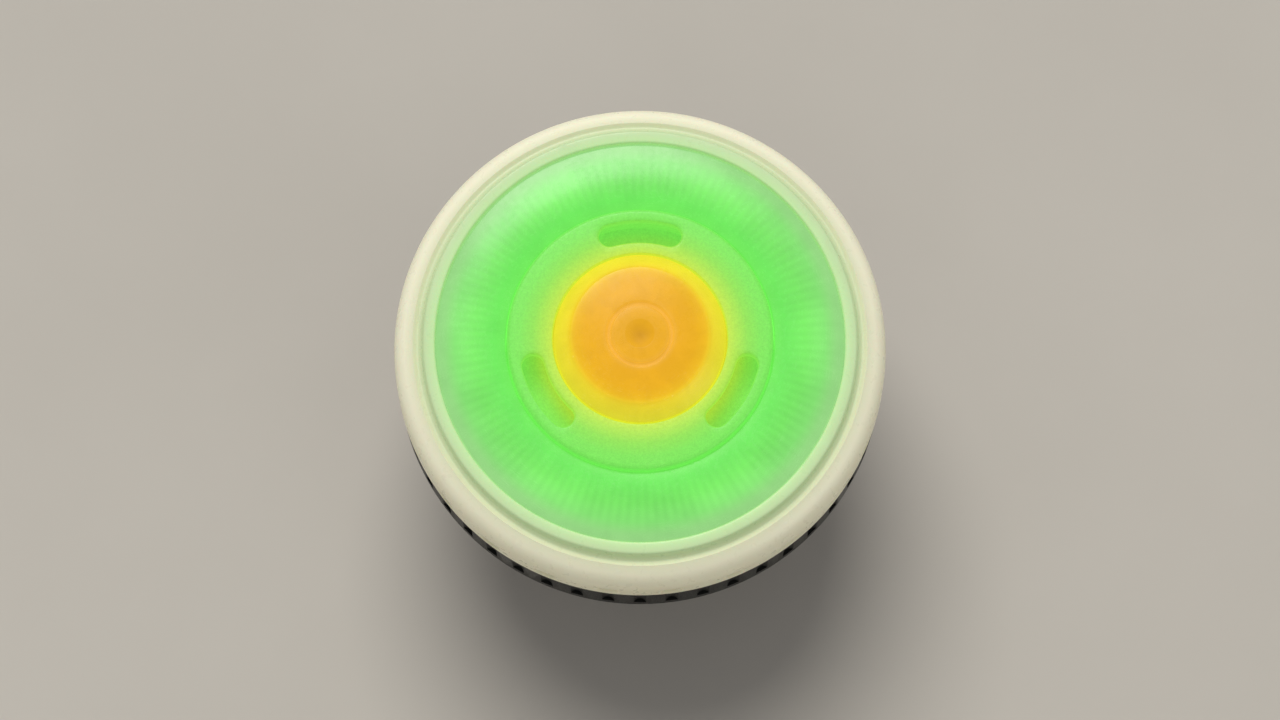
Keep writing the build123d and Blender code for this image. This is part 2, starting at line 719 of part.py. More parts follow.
NODES = {
    "tip": make_tip,
    "tip_axle": make_tip_axle,
    "axle_clip": make_axle_clip,
    "thrust_washer": make_thrust_washer,
    "tip_bush": make_tip_bush,
    "driver_base": make_driver_base,
    "driver_screws": make_driver_screws,
    "driver_shell": make_driver_shell,
    "weight_disc": make_weight_disc,
    "lock_plunger": make_lock_plunger,
    "lock_spring": make_lock_spring,
    "base_tray": make_base_tray,
    "case_screws": make_case_screws,
    "battery_cover": make_battery_cover,
    "cover_screws": make_cover_screws,
    "upper_shell": make_upper_shell,
    "lens_ring": make_lens_ring,
    "launcher_ring": make_launcher_ring,
    "hub_lens": make_hub_lens,
    "reflector": make_reflector,
    "circuit_board": make_circuit_board,
    "green_leds": make_green_leds,
    "amber_led": make_amber_led,
    "controller_chip": make_controller_chip,
    "resistors": make_resistors,
    "button_cells": make_button_cells,
    "board_contacts": make_board_contacts,
    "cover_contacts": make_cover_contacts,
    "switch_sleeve": make_switch_sleeve,
    "switch_contact": make_switch_contact,
    "switch_ball": make_switch_ball,
    "switch_spring": make_switch_spring,
}

os.makedirs("parts", exist_ok=True)
for name, make in NODES.items():
    export_step(make(), f"parts/{name}.step")
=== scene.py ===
"""The looks of a lit battling top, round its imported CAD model.

Lengths are millimetres in the row frame until they become vertices, which are metres.
Turned pieces come from outlines of (radius, height, rounding), swept round the spin axis.
"""

import math

import bmesh
import bpy
from mathutils import Matrix, Vector


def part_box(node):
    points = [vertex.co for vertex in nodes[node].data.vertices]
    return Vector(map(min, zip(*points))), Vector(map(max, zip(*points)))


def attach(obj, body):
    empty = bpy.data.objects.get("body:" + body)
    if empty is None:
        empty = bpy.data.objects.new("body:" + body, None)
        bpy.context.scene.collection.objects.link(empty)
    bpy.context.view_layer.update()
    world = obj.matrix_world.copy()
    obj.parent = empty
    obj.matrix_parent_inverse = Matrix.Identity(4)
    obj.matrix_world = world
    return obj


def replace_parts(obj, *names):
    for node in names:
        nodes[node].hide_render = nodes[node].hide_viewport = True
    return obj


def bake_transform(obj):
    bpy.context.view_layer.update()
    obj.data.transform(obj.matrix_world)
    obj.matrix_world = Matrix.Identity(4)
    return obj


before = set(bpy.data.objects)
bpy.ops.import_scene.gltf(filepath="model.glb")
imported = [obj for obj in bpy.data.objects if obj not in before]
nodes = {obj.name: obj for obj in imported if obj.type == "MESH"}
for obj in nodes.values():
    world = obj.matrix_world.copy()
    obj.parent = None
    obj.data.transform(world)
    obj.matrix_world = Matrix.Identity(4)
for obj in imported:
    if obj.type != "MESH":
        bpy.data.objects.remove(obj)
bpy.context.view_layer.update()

MM = 0.001  # metres
FINE = 720  # steps round the axis for what is fluted
COARSE = 360

# Main radii, heights and angles of the CAD model, in millimetres and degrees
RIM = 23.0
RIM_FLUTE_LOW, RIM_FLUTE_HIGH = 27.4, 29.1
HUB_CROWN, HUB_FOOT, HUB_FLANGE = 6.5, 8.0, 8.6
HUB_TOP = 36.0
CROWN_RADIUS = 37.38  # of the sphere that the hub's crown is part of
CROWN_RING_IN, CROWN_RING_OUT = 2.7, 3.15  # ring groove in the crown
LENS_IN, LENS_OUT = 12.5, 19.0
SHELL_IN = 20.2
STEP_IN, STEP_OUT, STEP_TOP = 8.15, 12.4, 34.0
PLATE_UNDER = 32.6  # underside of the plate with the launcher's slots
COVER_FOOT = 29.15  # where hub and step rest
SLOT_PITCH, SLOT_HALF, SLOT_SPAN = 10.25, 1.05, 32.0
LAMPS, LAMP_PITCH = 6, 16.2
DISC_IN, DISC_RADIUS = 8.85, 20.3
DISC_LOW, DISC_HIGH = 16.4, 21.2
WEB_LOW, WEB_HIGH = 17.8, 20.0
WINDOW_PITCH, WINDOW_HALF, WINDOW_SPAN = 13.6, 1.0, 30.0
CONE_FOOT, CONE_HEAD = (9.4, 9.2), (12.2, 14.2)
NECK, LUG_RADIUS, LUG_SPAN = 6.2, 7.4, 44
LUG_LOW, LUG_HIGH = 23.745, 25.005
TIP_AXLE = 1.0


# --- Shapes --------------------------------------------------------------------------------------


def arc(start, middle, end, steps=16):
    """Points on the circle through three points, ends included."""
    (ax, ay), (bx, by), (cx, cy) = start, middle, end
    d = 2 * (ax * (by - cy) + bx * (cy - ay) + cx * (ay - by))
    a2, b2, c2 = ax * ax + ay * ay, bx * bx + by * by, cx * cx + cy * cy
    ox = (a2 * (by - cy) + b2 * (cy - ay) + c2 * (ay - by)) / d
    oy = (a2 * (cx - bx) + b2 * (ax - cx) + c2 * (bx - ax)) / d
    radius = math.hypot(ax - ox, ay - oy)
    first = math.atan2(ay - oy, ax - ox)
    via = math.atan2(by - oy, bx - ox)
    last = math.atan2(cy - oy, cx - ox)
    sweep = (last - first) % math.tau
    if (via - first) % math.tau > sweep:
        sweep -= math.tau
    turns = [first + sweep * i / steps for i in range(steps + 1)]
    return [(ox + radius * math.cos(t), oy + radius * math.sin(t)) for t in turns]


def outline(*corners, steps=5):
    """A closed outline whose corners (radius, height, rounding) are rounded off."""
    points = []
    for i, corner in enumerate(corners):
        here = Vector(corner[:2])
        rounding = corner[2] if len(corner) > 2 else 0
        if not rounding:
            points.append(tuple(here))
            continue
        back = Vector(corners[i - 1][:2]) - here
        on = Vector(corners[(i + 1) % len(corners)][:2]) - here
        half = back.angle(on) / 2
        reach = min(rounding / math.tan(half), 0.49 * back.length, 0.49 * on.length)
        size = reach * math.tan(half)
        back.normalize()
        on.normalize()
        centre = here + (back + on).normalized() * size / math.sin(half)
        start, end = here + back * reach - centre, here + on * reach - centre
        turn = start.angle_signed(end)
        for k in range(steps + 1):
            points.append(tuple(centre + Matrix.Rotation(-turn * k / steps, 2) @ start))
    return points


def dense(points, step):
    """The same closed outline with no straight run longer than a step."""
    out = []
    for i, here in enumerate(points):
        there = points[(i + 1) % len(points)]
        out.append(here)
        if here[0] < 1e-6 and there[0] < 1e-6:
            continue
        count = int(math.dist(here, there) / step)
        for k in range(1, count + 1):
            t = k / (count + 1)
            out.append((here[0] + (there[0] - here[0]) * t, here[1] + (there[1] - here[1]) * t))
    return out


def finish_mesh(mesh, sharp=32):
    """Outward normals and smooth shading, but for edges sharper than an angle."""
    bm = bmesh.new()
    bm.from_mesh(mesh)
    bmesh.ops.remove_doubles(bm, verts=bm.verts, dist=1e-7)
    bmesh.ops.dissolve_degenerate(bm, edges=bm.edges, dist=1e-7)
    bmesh.ops.recalc_face_normals(bm, faces=bm.faces)
    bm.to_mesh(mesh)
    bm.free()
    mesh.polygons.foreach_set("use_smooth", [True] * len(mesh.polygons))
    mesh.set_sharp_from_angle(angle=math.radians(sharp))


def add_object(name, mesh):
    """A new piece in the scene."""
    piece = bpy.data.objects.new(name, mesh)
    bpy.context.scene.collection.objects.link(piece)
    return piece


def lathe(name, points, steps=COARSE, *warps):
    """A closed outline swept round the axis. Each warp moves a point (radius, height, angle)."""
    on_axis = [i for i, (r, _) in enumerate(points) if r < 1e-6]
    verts, faces, index = [], [], {}
    for i in on_axis:
        index[i] = len(verts)
        verts.append((0, 0, points[i][1] * MM))
    for k in range(steps):
        angle = math.tau * k / steps
        for i, (r, z) in enumerate(points):
            if i in on_axis:
                continue
            for warp in warps:
                r, z = warp(r, z, angle)
            index[k, i] = len(verts)
            verts.append((r * math.cos(angle) * MM, r * math.sin(angle) * MM, z * MM))
    for k in range(steps):
        after = (k + 1) % steps
        for i in range(len(points)):
            j = (i + 1) % len(points)
            if i in on_axis and j in on_axis:
                continue
            if i in on_axis:
                faces.append((index[i], index[k, j], index[after, j]))
            elif j in on_axis:
                faces.append((index[k, i], index[j], index[after, i]))
            else:
                faces.append((index[k, i], index[k, j], index[after, j], index[after, i]))
    mesh = bpy.data.meshes.new(name)
    mesh.from_pydata(verts, [], faces)
    finish_mesh(mesh)
    return add_object(name, mesh)


def soft_min(a, b, blend):
    """The smaller of two lengths, with the step between them rounded over."""
    near = max(blend - abs(a - b), 0) / blend
    return min(a, b) - near * near * blend / 4


def grooves(count, first, centre, radius, low, high, fade=0.25, lip=0.12):
    """A warp that cuts upright round grooves into an outer wall, eased over a fade at each end."""
    pitch = math.tau / count

    def warp(r, z, angle):
        if not low <= z <= high:
            return r, z
        off = (angle - math.radians(first) + pitch / 2) % pitch - pitch / 2
        side = centre * math.sin(off)
        if abs(side) >= radius * 1.15:
            return r, z
        edge = centre * math.cos(off) - math.sqrt(max(radius * radius - side * side, 0))
        if abs(side) >= radius:
            edge = centre * math.cos(off)
        depth = r - soft_min(r, edge, lip)
        ease = min((high - z) / fade, (z - low) / fade, 1)
        return r - depth * ease * ease * (3 - 2 * ease), z

    return warp


def lugs(count, first, span, inner, outer, low, high):
    """A warp that pushes a wall out to a radius over some stretches, as a lock's lugs do."""
    pitch = math.tau / count
    half = math.radians(span) / 2

    def warp(r, z, angle):
        off = (angle - math.radians(first) + pitch / 2) % pitch - pitch / 2
        if low <= z <= high and abs(off) <= half and abs(r - inner) < 0.02:
            return outer, z
        return r, z

    return warp


def slot_outline(offset, middle, pitch, half, span):
    """The outline of a curved slot with round ends, grown by an offset."""
    half += offset
    sides = math.radians(span) / 2
    middle = math.radians(middle)
    points = []
    for k in range(25):
        t = middle - sides + 2 * sides * k / 24
        points.append(((pitch + half) * math.cos(t), (pitch + half) * math.sin(t)))
    for end, sign in ((middle + sides, 1), (middle - sides, -1)):
        cx, cy = pitch * math.cos(end), pitch * math.sin(end)
        for k in range(1, 14):
            t = end + (0 if sign > 0 else math.pi) + math.pi * k / 14
            points.append((cx + half * math.cos(t), cy + half * math.sin(t)))
        if sign > 0:
            for k in range(25):
                t = middle + sides - 2 * sides * k / 24
                points.append(((pitch - half) * math.cos(t), (pitch - half) * math.sin(t)))
    return points


def levels(low, high, rounding, spare=0.4):
    """(height, offset) pairs of a cutter that rounds both edges of its hole through a plate."""
    turns = [math.pi / 2 * k / 4 for k in range(5)]
    quarter = [(1 - math.cos(t), 1 - math.sin(t)) for t in turns]
    lower = [(low + rounding * up, rounding * off) for up, off in quarter]
    upper = [(high - rounding * up, rounding * off) for up, off in reversed(quarter)]
    return [(low - spare, rounding), *lower, *upper, (high + spare, rounding)]


def slot_cutter(rows, *slot):
    """A closed solid lofted between slot outlines, each grown by its level's offset."""
    rings = [[(x, y, z) for x, y in slot_outline(offset, *slot)] for z, offset in rows]
    count, last = len(rings[0]), len(rings) - 1
    verts = [(x * MM, y * MM, z * MM) for points in rings for x, y, z in points]
    faces = [tuple(reversed(range(count))), tuple(last * count + k for k in range(count))]
    for level in range(last):
        for k in range(count):
            a, b = level * count + k, level * count + (k + 1) % count
            faces.append((a, b, b + count, a + count))
    return verts, faces


def cut(piece, cutters):
    """Takes the cutters out of a piece, and leaves plain mesh."""
    verts, faces = [], []
    for more_verts, more_faces in cutters:
        faces += [tuple(i + len(verts) for i in face) for face in more_faces]
        verts += more_verts
    mesh = bpy.data.meshes.new("cutter")
    mesh.from_pydata(verts, [], faces)
    finish_mesh(mesh)
    tool = add_object("cutter", mesh)
    boolean = piece.modifiers.new("cut", "BOOLEAN")
    boolean.operation = "DIFFERENCE"
    boolean.solver = "EXACT"
    boolean.object = tool
    graph = bpy.context.evaluated_depsgraph_get()
    result = bpy.data.meshes.new_from_object(piece.evaluated_get(graph))
    piece.modifiers.clear()
    piece.data = result
    bpy.data.objects.remove(tool)
    finish_mesh(result)
    return piece


def spaced(first, count):
    """Angles evenly spaced round the axis."""
    return [first + i * 360 / count for i in range(count)]


# --- Materials -----------------------------------------------------------------------------------


def srgb(r, g, b):
    """A colour as seen on a screen, 0 to 255, as linear light."""
    def linear(c):
        c /= 255
        return c / 12.92 if c <= 0.04045 else ((c + 0.055) / 1.055) ** 2.4

    return (linear(r), linear(g), linear(b), 1.0)


NOISE_RANGE = (0.3, 0.7)


class Look:
    """One procedural material. Its places are millimetres in the row frame at rest."""

    def __init__(self, name, **fixed):
        self.material = bpy.data.materials.new(name)
        self.material.use_nodes = True
        tree = self.material.node_tree
        self.nodes, self.links = tree.nodes, tree.links
        self.shader = self.nodes["Principled BSDF"]
        for socket, value in fixed.items():
            self.shader.inputs[socket.replace("_", " ")].default_value = value
        place = self.add("ShaderNodeTexCoord").outputs["Object"]
        scale = self.add("ShaderNodeVectorMath", operation="SCALE")
        self.links.new(place, scale.inputs[0])
        scale.inputs["Scale"].default_value = 1 / MM
        self.place = scale.outputs[0]
        split = self.add("ShaderNodeSeparateXYZ")
        self.links.new(self.place, split.inputs[0])
        self.x, self.y, self.z = split.outputs
        across, along = (self.math("MULTIPLY", part, part) for part in (self.x, self.y))
        self.radius = self.math("SQRT", self.math("ADD", across, along))
        self.turn = self.math("ARCTAN2", self.y, self.x)

    def add(self, kind, **settings):
        """A new node with some of its settings changed."""
        node = self.nodes.new(kind)
        for key, value in settings.items():
            setattr(node, key, value)
        return node

    def feed(self, value, socket):
        """Links a node's output to a socket, or sets the socket to a plain value."""
        if isinstance(value, bpy.types.NodeSocket):
            self.links.new(value, socket)
        else:
            socket.default_value = value

    def math(self, operation, *values):
        """The result of one Math node."""
        node = self.add("ShaderNodeMath", operation=operation)
        for value, socket in zip(values, node.inputs):
            self.feed(value, socket)
        return node.outputs[0]

    def plus(self, a, b):
        return self.math("ADD", a, b)

    def times(self, a, b):
        return self.math("MULTIPLY", a, b)

    def spread(self, value, low, high, to_low=0.0, to_high=1.0):
        """A value mapped from one range to another, eased and held at the ends."""
        node = self.add("ShaderNodeMapRange", interpolation_type="SMOOTHSTEP")
        for part, socket in zip((value, low, high, to_low, to_high), node.inputs):
            self.feed(part, socket)
        return node.outputs[0]

    def mapped(self, noise, low=0.0, high=1.0):
        """A noise's usual range mapped from a low to a high value."""
        return self.spread(noise, *NOISE_RANGE, low, high)

    def hump(self, value, middle, half):
        """1 at a value's middle, falling to 0 a half width away."""
        away = self.math("ABSOLUTE", self.math("SUBTRACT", value, middle))
        return self.spread(away, 0.0, half, 1.0, 0.0)

    def noise(self, scale, detail=3.0, rough=0.5, at=None, distortion=0.0):
        """Fractal noise, with a scale in cells per millimetre."""
        node = self.add("ShaderNodeTexNoise")
        self.feed(at or self.place, node.inputs["Vector"])
        node.inputs["Scale"].default_value = scale
        node.inputs["Detail"].default_value = detail
        node.inputs["Roughness"].default_value = rough
        node.inputs["Distortion"].default_value = distortion
        return node.outputs[0]

    def round_place(self, around, across):
        """Places stretched along circles round the axis, for turning marks and scuffs."""
        node = self.add("ShaderNodeCombineXYZ")
        safe = self.math("MAXIMUM", self.radius, 0.01)
        self.feed(self.times(self.math("DIVIDE", self.x, safe), around), node.inputs[0])
        self.feed(self.times(self.math("DIVIDE", self.y, safe), around), node.inputs[1])
        slant = self.plus(self.radius, self.times(self.z, 1.37))
        self.feed(self.times(slant, across), node.inputs[2])
        return node.outputs[0]

    def ramp(self, value, *stops):
        """Colours at values from 0 to 1, with plain mixing between them."""
        node = self.add("ShaderNodeValToRGB")
        band = node.color_ramp
        while len(band.elements) < len(stops):
            band.elements.new(0.5)
        for element, (position, colour) in zip(band.elements, stops):
            element.position = position
            element.color = colour
        self.feed(value, node.inputs[0])
        return node.outputs[0]

    def by_radius(self, low, high, *stops):
        """Colours at radii in millimetres."""
        share = self.math("DIVIDE", self.math("SUBTRACT", self.radius, low), high - low)
        return self.ramp(share, *[((r - low) / (high - low), colour) for r, colour in stops])

    def mix(self, share, a, b):
        """A colour part of the way from one to another."""
        node = self.add("ShaderNodeMix", data_type="RGBA")
        self.feed(share, node.inputs[0])
        self.feed(a, node.inputs[6])
        self.feed(b, node.inputs[7])
        return node.outputs[2]

    def shade(self, colour, value):
        """A colour made lighter or darker by a factor."""
        node = self.add("ShaderNodeVectorMath", operation="SCALE")
        plain = not isinstance(colour, bpy.types.NodeSocket)
        self.feed(colour[:3] if plain else colour, node.inputs[0])
        self.feed(value, node.inputs["Scale"])
        return node.outputs[0]

    def bump(self, height, depth, under=None):
        """A height field from 0 to 1, as deep as a depth in millimetres."""
        node = self.add("ShaderNodeBump")
        node.inputs["Strength"].default_value = 1.0
        node.inputs["Distance"].default_value = depth * MM
        self.feed(height, node.inputs["Height"])
        if under:
            self.feed(under, node.inputs["Normal"])
        return node.outputs[0]

    def edges(self, low=0.505, high=0.56):
        """1 along sharp outer edges."""
        return self.spread(self.add("ShaderNodeNewGeometry").outputs["Pointiness"], low, high)

    def scuffs(self, amount=0.62):
        """Fine scratches along circles, in patches."""
        lines = self.noise(9.0, 2.0, 0.6, self.round_place(1.6, 9.0))
        patches = self.noise(0.22, 2.0, 0.5)
        fine = self.spread(lines, amount, amount + 0.06)
        return self.times(fine, self.spread(patches, 0.46, 0.62))

    def glow(self, colour):
        """Light given off by the surface."""
        self.feed(colour, self.shader.inputs["Emission Color"])
        self.shader.inputs["Emission Strength"].default_value = 1.0

    def done(self, base, rough, normal=None):
        """The material, with its colour, roughness and bump in place."""
        self.feed(base, self.shader.inputs["Base Color"])
        self.feed(rough, self.shader.inputs["Roughness"])
        if normal:
            self.feed(normal, self.shader.inputs["Normal"])
        return self.material


def cream_look():
    """Ivory ABS: a satin moulding with painted light: the lens's green light painted into its
    colour near the lip, a painted glow stronger higher up, and painted shade in the flutes.
    """
    look = Look("cream_rim", Subsurface_Weight=0.1, Subsurface_Scale=0.0012, IOR=1.5)
    clouds = look.spread(look.noise(0.18, 3.0), 0.35, 0.65)
    base = look.mix(clouds, srgb(247, 244, 218), srgb(243, 239, 211))
    # Painted light: on the upper surface the colour turns green towards the lip, as if lit by the
    # lens.
    lit = look.by_radius(
        19, RIM,
        (19.1, srgb(164, 196, 142)), (20.2, srgb(174, 194, 152)),
        (21.0, srgb(208, 212, 180)), (22.0, srgb(246, 244, 220)),
    )
    upper = look.spread(look.z, 29.0, 31.8)
    base = look.mix(look.times(upper, 0.85), base, lit)
    scuffs = look.scuffs()
    wall = look.spread(look.z, 26.5, 30.0, 1.0, 0.0)
    grime = look.times(look.spread(look.noise(0.9, 5.0, 0.6), 0.5, 0.75), wall)
    base = look.mix(look.times(grime, 0.25), base, srgb(140, 132, 108))
    base = look.mix(look.times(scuffs, 0.3), base, srgb(246, 245, 232))
    satin = look.mapped(look.noise(1.4, 4.0), 0.26, 0.38)
    rough = look.plus(satin, look.times(scuffs, 0.18))
    grain = look.bump(look.noise(9.0, 2.0), 0.003)
    # Painted glow: the rim gives off light, green near the lip and faint cream further out,
    # stronger higher up and weaker in the flutes.
    painted_glow = look.by_radius(
        19, RIM,
        (19.1, srgb(122, 164, 100)), (20.2, srgb(94, 124, 78)),
        (21.0, srgb(84, 90, 66)), (22.4, srgb(88, 88, 70)),
    )
    # Painted shade: the colour is darkened inside the flutes, and their glow is weaker.
    inside = look.spread(look.radius, RIM - 0.45, RIM - 0.03, 1.0, 0.0)
    hollow = look.times(inside, look.hump(look.z, (RIM_FLUTE_LOW + RIM_FLUTE_HIGH) / 2, 1.0))
    base = look.mix(look.times(hollow, 0.55), base, srgb(150, 144, 116))
    lift = look.spread(look.z, 27.0, 31.8, 0.55, 0.78)
    look.glow(look.shade(painted_glow, look.times(lift, look.spread(hollow, 0.0, 1.0, 1.0, 0.4))))
    return look.done(base, rough, look.bump(scuffs, 0.008, grain))


def lens_look():
    """Green polycarbonate with a prismed underside, lit from below by a ring of lamps."""
    look = Look("green_lens", Coat_Weight=0.12, Coat_Roughness=0.15, IOR=1.55)
    # Painted light: the glow stands in for the light of the lamps below coming through the lens,
    # brighter over each lamp.
    tone = look.by_radius(
        12, 20,
        (12.4, srgb(118, 236, 88)), (13.6, srgb(112, 238, 88)), (15.5, srgb(124, 232, 98)),
        (17.2, srgb(140, 227, 118)), (18.3, srgb(160, 215, 138)), (19.0, srgb(164, 208, 142)),
    )
    around = look.math("COSINE", look.times(look.turn, LAMPS))
    spot = look.times(look.spread(around, -0.3, 1.0), look.hump(look.radius, LAMP_PITCH, 3.0))
    prisms = look.math("SINE", look.times(look.turn, 120.0))
    fade = look.hump(look.radius, 15.8, 3.4)
    level = look.plus(look.times(spot, 0.12), 0.74)
    level = look.plus(level, look.times(look.times(prisms, fade), 0.03))
    haze = look.times(look.mapped(look.noise(0.5, 3.0)), 0.06)
    look.glow(look.shade(tone, look.math("SUBTRACT", level, haze)))
    scuffs = look.scuffs(0.64)
    base = look.mix(look.times(scuffs, 0.3), srgb(52, 128, 48), srgb(176, 225, 168))
    gloss = look.mapped(look.noise(2.2, 4.0), 0.2, 0.3)
    rough = look.plus(gloss, look.times(scuffs, 0.2))
    return look.done(base, rough, look.bump(scuffs, 0.004))


def step_look():
    """Frosted green polycarbonate with a painted glow: yellow beside the hub, green further out."""
    look = Look("frosted_step", Coat_Weight=0.1, Coat_Roughness=0.3, IOR=1.58)
    # Painted light: the glow stands in for the lamps' light through the ring, yellow from the amber
    # lamp beside the hub, green further out, a little dimmer lower down.
    tone = look.by_radius(
        8, 13,
        (8.1, srgb(220, 232, 60)), (8.9, srgb(192, 232, 68)), (10.0, srgb(150, 228, 76)),
        (11.2, srgb(128, 234, 88)), (12.4, srgb(118, 236, 90)),
    )
    sparkle = look.mapped(look.noise(3.2, 4.0, 0.7), -0.05, 0.05)
    deep = look.spread(look.z, 29.2, 33.4, 0.64, 0.69)
    look.glow(look.shade(tone, look.plus(deep, sparkle)))
    scuffs = look.scuffs()
    grain = look.noise(7.0, 3.0, 0.6)
    base = look.mix(look.mapped(grain), srgb(66, 128, 44), srgb(84, 146, 56))
    base = look.mix(look.times(scuffs, 0.3), base, srgb(210, 230, 170))
    rough = look.mapped(look.noise(4.0, 4.0), 0.38, 0.55)
    return look.done(base, rough, look.bump(scuffs, 0.005, look.bump(grain, 0.008)))


def hub_look():
    """Amber cap over its own lamp, with yellow bevelled sides."""
    look = Look("amber_hub", Specular_IOR_Level=0.35)
    # Painted light: the glow stands in for the light of the lamp under the cap, weaker on the
    # bevelled side, in the dimple and lower down.
    tone = look.by_radius(
        0, HUB_FLANGE,
        (0.0, srgb(208, 152, 24)), (1.1, srgb(237, 176, 30)), (2.3, srgb(244, 182, 34)),
        (2.95, srgb(247, 186, 62)), (3.6, srgb(244, 182, 28)), (5.2, srgb(242, 184, 22)),
        (6.2, srgb(244, 196, 26)), (6.8, srgb(246, 218, 44)), (8.0, srgb(226, 224, 48)),
    )
    swirl = look.mapped(look.noise(0.55, 3.0, 0.55, distortion=0.6), -0.03, 0.03)
    side = look.spread(look.radius, 5.9, 7.1)
    level = look.plus(look.plus(look.times(side, -0.2), 0.78), swirl)
    deep = look.spread(look.z, 30.0, 34.0, 0.7, 1.0)
    look.glow(look.shade(tone, look.times(level, deep)))
    scuffs = look.scuffs(0.63)
    base = look.mix(side, srgb(112, 74, 8), srgb(176, 164, 34))
    base = look.mix(look.times(scuffs, 0.3), base, srgb(250, 226, 170))
    gloss = look.mapped(look.noise(2.0, 4.0), 0.24, 0.34)
    rough = look.plus(gloss, look.times(scuffs, 0.2))
    dimple = look.spread(look.radius, 1.0, 1.6, 0.35, 0.0)
    rough = look.plus(rough, dimple)
    grain = look.bump(look.noise(6.0, 2.0), 0.002)
    return look.done(base, rough, look.bump(scuffs, 0.005, grain))


def moulded_look(name, dark, light, rough=0.5, grain_depth=0.012, dust=0.12, shine=0.5):
    """A moulded plastic with a spark-eroded grain, polished edges that are lighter partly as wear
    and partly as a painted highlight, and a little dust.
    """
    look = Look(name, IOR=1.5, Specular_IOR_Level=shine)
    grain = look.noise(7.5, 4.0, 0.65)
    clouds = look.mapped(look.noise(0.3, 3.0))
    base = look.mix(clouds, dark, light)
    edges = look.edges()
    scuffs = look.scuffs()
    speck = look.spread(look.noise(5.0, 2.0, 0.8), 0.66, 0.74)
    # Lighter along sharp edges: partly wear, partly a painted highlight.
    base = look.mix(look.times(edges, 0.35), base, look.shade(light, 2.2))
    base = look.mix(look.times(scuffs, 0.3), base, look.shade(light, 3.0))
    base = look.mix(look.times(speck, dust), base, srgb(165, 160, 150))
    satin = look.mapped(grain, rough - 0.08, rough + 0.1)
    rough_all = look.math("SUBTRACT", satin, look.times(edges, 0.15))
    return look.done(base, rough_all, look.bump(scuffs, 0.006, look.bump(grain, grain_depth)))


def cast_look():
    """Nickel-plated zinc: turned faces outside, as-cast skin on the web."""
    look = Look("plated_zinc", Metallic=1.0)
    turning = look.noise(6.0, 2.0, 0.6, look.round_place(0.7, 5.0))
    casting = look.noise(3.2, 5.0, 0.65)
    web = look.hump(look.radius, 13.6, 2.0)
    clouds = look.mapped(look.noise(0.25, 3.0))
    base = look.mix(clouds, srgb(186, 184, 178), srgb(168, 167, 164))
    base = look.mix(look.times(web, 0.5), base, srgb(128, 128, 128))
    scuffs = look.scuffs(0.6)
    edges = look.edges(0.51, 0.58)
    # Lighter along scuffs and sharp edges: the scuffs are wear, the edges partly wear and partly a
    # painted highlight.
    base = look.mix(look.times(look.plus(edges, scuffs), 0.4), base, srgb(226, 225, 222))
    stain = look.spread(look.noise(0.8, 5.0, 0.7, distortion=0.8), 0.58, 0.72)
    base = look.mix(look.times(stain, 0.3), base, srgb(120, 112, 100))
    rough = look.mapped(turning, 0.24, 0.38)
    rough = look.plus(look.plus(rough, look.times(web, 0.2)), look.times(stain, 0.1))
    fine = look.bump(turning, 0.006)
    skin = look.bump(look.times(casting, web), 0.05, fine)
    return look.done(base, rough, look.bump(scuffs, 0.012, skin))


def metal_look(name, light, dark, rough=0.3, around=1.0):
    """Plated or drawn metal with fine marks and faint tarnish."""
    look = Look(name, Metallic=1.0)
    marks = look.noise(8.0, 3.0, 0.6, look.round_place(around, 6.0))
    stain = look.spread(look.noise(1.6, 4.0, 0.6), 0.45, 0.75)
    base = look.mix(look.times(stain, 0.6), light, dark)
    # Lighter along sharp edges: partly wear, partly a painted highlight.
    base = look.mix(look.times(look.edges(), 0.3), base, look.shade(light, 1.25))
    level = look.mapped(marks, rough - 0.08, rough + 0.08)
    level = look.plus(level, look.times(stain, 0.12))
    return look.done(base, level, look.bump(marks, 0.004))


def board_look():
    """Green solder mask over tracks, with bare tinned rings."""
    look = Look("solder_mask", Coat_Weight=0.4, Coat_Roughness=0.15)
    wave = look.math("SINE", look.times(look.radius, 4.2))
    tracks = look.spread(wave, 0.55, 0.7)
    weave = look.noise(2.5, 3.0)
    mask = look.mix(look.mapped(weave), srgb(20, 92, 46), srgb(28, 108, 56))
    base = look.mix(look.times(tracks, 0.6), mask, srgb(60, 142, 74))
    return look.done(base, look.mapped(weave, 0.3, 0.42), look.bump(tracks, 0.02))


def lamp_look(name, tone, strength):
    """A white lamp frame round a lit phosphor well."""
    look = Look(name)
    grain = look.noise(8.0, 3.0)
    base = look.mix(look.mapped(grain), srgb(236, 232, 214), srgb(222, 216, 196))
    well = look.spread(look.z, 29.5, 30.1, 1.0, 0.0)  # the lamps' flat tops are at 30
    look.glow(look.shade(tone, look.times(well, strength)))
    return look.done(base, look.mapped(grain, 0.35, 0.5), look.bump(grain, 0.006))


def floor_look():
    """A pale, slightly mottled table top."""
    look = Look("pale_floor")
    soft = look.noise(0.02, 4.0, 0.55)
    base = look.mix(look.mapped(soft), srgb(194, 189, 181), srgb(191, 186, 178))
    return look.done(base, look.mapped(soft, 0.62, 0.72))


def dress(thing, material):
    """Puts one material on a piece."""
    thing.data.materials.clear()
    thing.data.materials.append(material)


# --- Pieces ---------------------------------------------------------------------------------------


def crown(r):
    """The height of the hub's crown at a radius."""
    return HUB_TOP - CROWN_RADIUS + math.sqrt(CROWN_RADIUS**2 - r * r)


